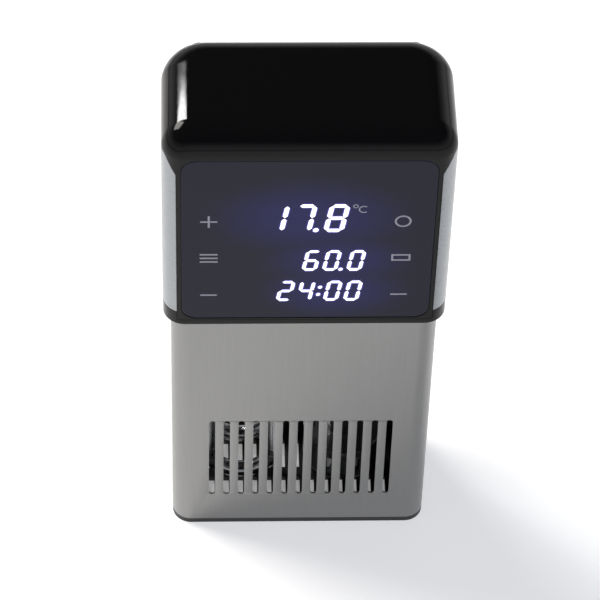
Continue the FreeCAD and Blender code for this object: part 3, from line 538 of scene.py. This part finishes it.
solder_mask = material("green solder mask", "#14502c", 0.35, IOR=1.5)
pattern(solder_mask, 3.0, (1, 1, 1), 0.004, (0.28, 0.42), ("#114726", "#1a5d35"))
epoxy = material("moulded black epoxy", "#1b1b1d", 0.45)
pattern(epoxy, 0.4, (1, 1, 1), 0.01, (0.4, 0.55), ("#171719", "#222225"))
motor_paint = material("baked satin black paint", "#1d1d20", 0.38)
pattern(motor_paint, 0.9, (1, 1, 1), 0.01, (0.32, 0.46), ("#19191c", "#242428"))
copper = material("enamelled copper and lamination", "#8a4a2c", 0.32, 0.8)
pattern(copper, 0.35, (30, 30, 1), 0.03, (0.26, 0.4), ("#7b3f25", "#9c5836"))
extruded = material("extruded aluminium", "#c3c5c7", 0.34, 1.0)
pattern(extruded, 0.4, (1, 1, 40), 0.004, (0.28, 0.42), ("#babcbe", "#cdcfd1"))
sleeve = material("red PVC wire sleeve", "#8c1c16", 0.4)
pattern(sleeve, 1.0, (1, 1, 1), 0.005, (0.35, 0.5), ("#821812", "#98241d"))
finishes = {"black_gloss": gloss_black, "silver": satin_steel, "steel": ground_steel,
            "black_glass": black_glass, "black_matt": moulded, "rubber": rubber,
            "silicone": red_silicone, "board": solder_mask, "machined": turned, "zinc": zinc,
            "brass": brass, "aluminium": extruded, "motor_paint": motor_paint, "copper": copper,
            "white_plastic": ptfe, "component": epoxy, "cable": sleeve}
for part in frame["record"]["subparts"]:
    held = nodes[part["node"]].data.materials
    made = finishes[part["material_slot"]]
    if len(held) == 0:
        held.append(made)
    for i in range(len(held)):
        held[i] = made


# ---- Cord gland: the nylon body that clamps a cord at the back of the head. Its bore is left
# empty, ready for a cord.

refined("cord_gland", "gland_body", moulded, 0.5)


# ---- Pan clamp: a bent stainless bracket, a threaded spindle with a swivelling disc, and a
# six-lobed nylon knob.

refined("clamp_bracket", "bent_bracket", ground_steel, 0.3)
refined("clamp_disc", "swivel_disc", turned, 0.4, "clamp_foot")


per_turn = 96


def lathe(name, radii, along, centre, made):
    """A round piece along Y: each row of radii, one for every angle, sits at its own place along."""
    angle = np.linspace(0, 2 * math.pi, per_turn, endpoint=False)
    rings = []
    for row, y in zip(radii, along):
        across, up = centre[0] + row * np.cos(angle), centre[1] + row * np.sin(angle)
        rings.append(np.stack([across, np.full(per_turn, y), up], 1))
    return stacked(name, rings[::-1], made)


screw_low, screw_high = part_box("clamp_screw")
centre = ((screw_low.x + screw_high.x) / 2, (screw_low.z + screw_high.z) / 2)
spindle = (screw_high.x - screw_low.x) / 2
pitch = 2 * MM
thread_depth = 0.9 * MM
root_half, flank = 0.17, 6
plain_length = 4 * MM
turn = np.linspace(0, 2 * math.pi, per_turn, endpoint=False)
places = np.linspace(screw_low.y, screw_high.y, 420)
phase = (places[:, None] / pitch - turn[None, :] / (2 * math.pi)) % 1
cut_in = np.clip((np.abs(phase - 0.5) - root_half) * flank, 0, 1)
plain_end = np.clip((places - screw_low.y - plain_length) / MM, 0, 1)[:, None]
threaded = spindle - thread_depth * (1 - cut_in) * plain_end
thread = lathe("threaded_spindle", threaded, places, centre, turned)
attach(thread, "clamp_screw")
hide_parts("clamp_screw")

knob_low, knob_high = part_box("clamp_knob")
knob_radius = (knob_high.z - knob_low.z) / 2
lobe_count, lobe_depth = 6, 0.17
lobes = 1 - lobe_depth * ((1 + np.cos(lobe_count * turn)) / 2) ** 2
edge = 2.2 * MM
bend = np.linspace(0, math.pi / 2, 7)
near_rim = [(knob_radius - edge + edge * math.sin(a), knob_low.y + edge - edge * math.cos(a)) for a in bend]
far_rim = [(knob_radius - edge + edge * math.cos(a), knob_high.y - edge + edge * math.sin(a)) for a in bend]
dish = [(knob_radius * 0.55, knob_high.y), (knob_radius * 0.48, knob_high.y - 1.2 * MM),
        (knob_radius * 0.12, knob_high.y - 1.4 * MM)]
hub = [(knob_radius * 0.40, knob_low.y)]
profile = hub + near_rim + far_rim + dish
radii = [np.full(per_turn, r) if r < knob_radius * 0.6 else r * lobes for r, y in profile]
knob = lathe("lobed_knob", radii, [y for r, y in profile], centre, moulded)
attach(knob, "clamp_screw")
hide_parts("clamp_knob")
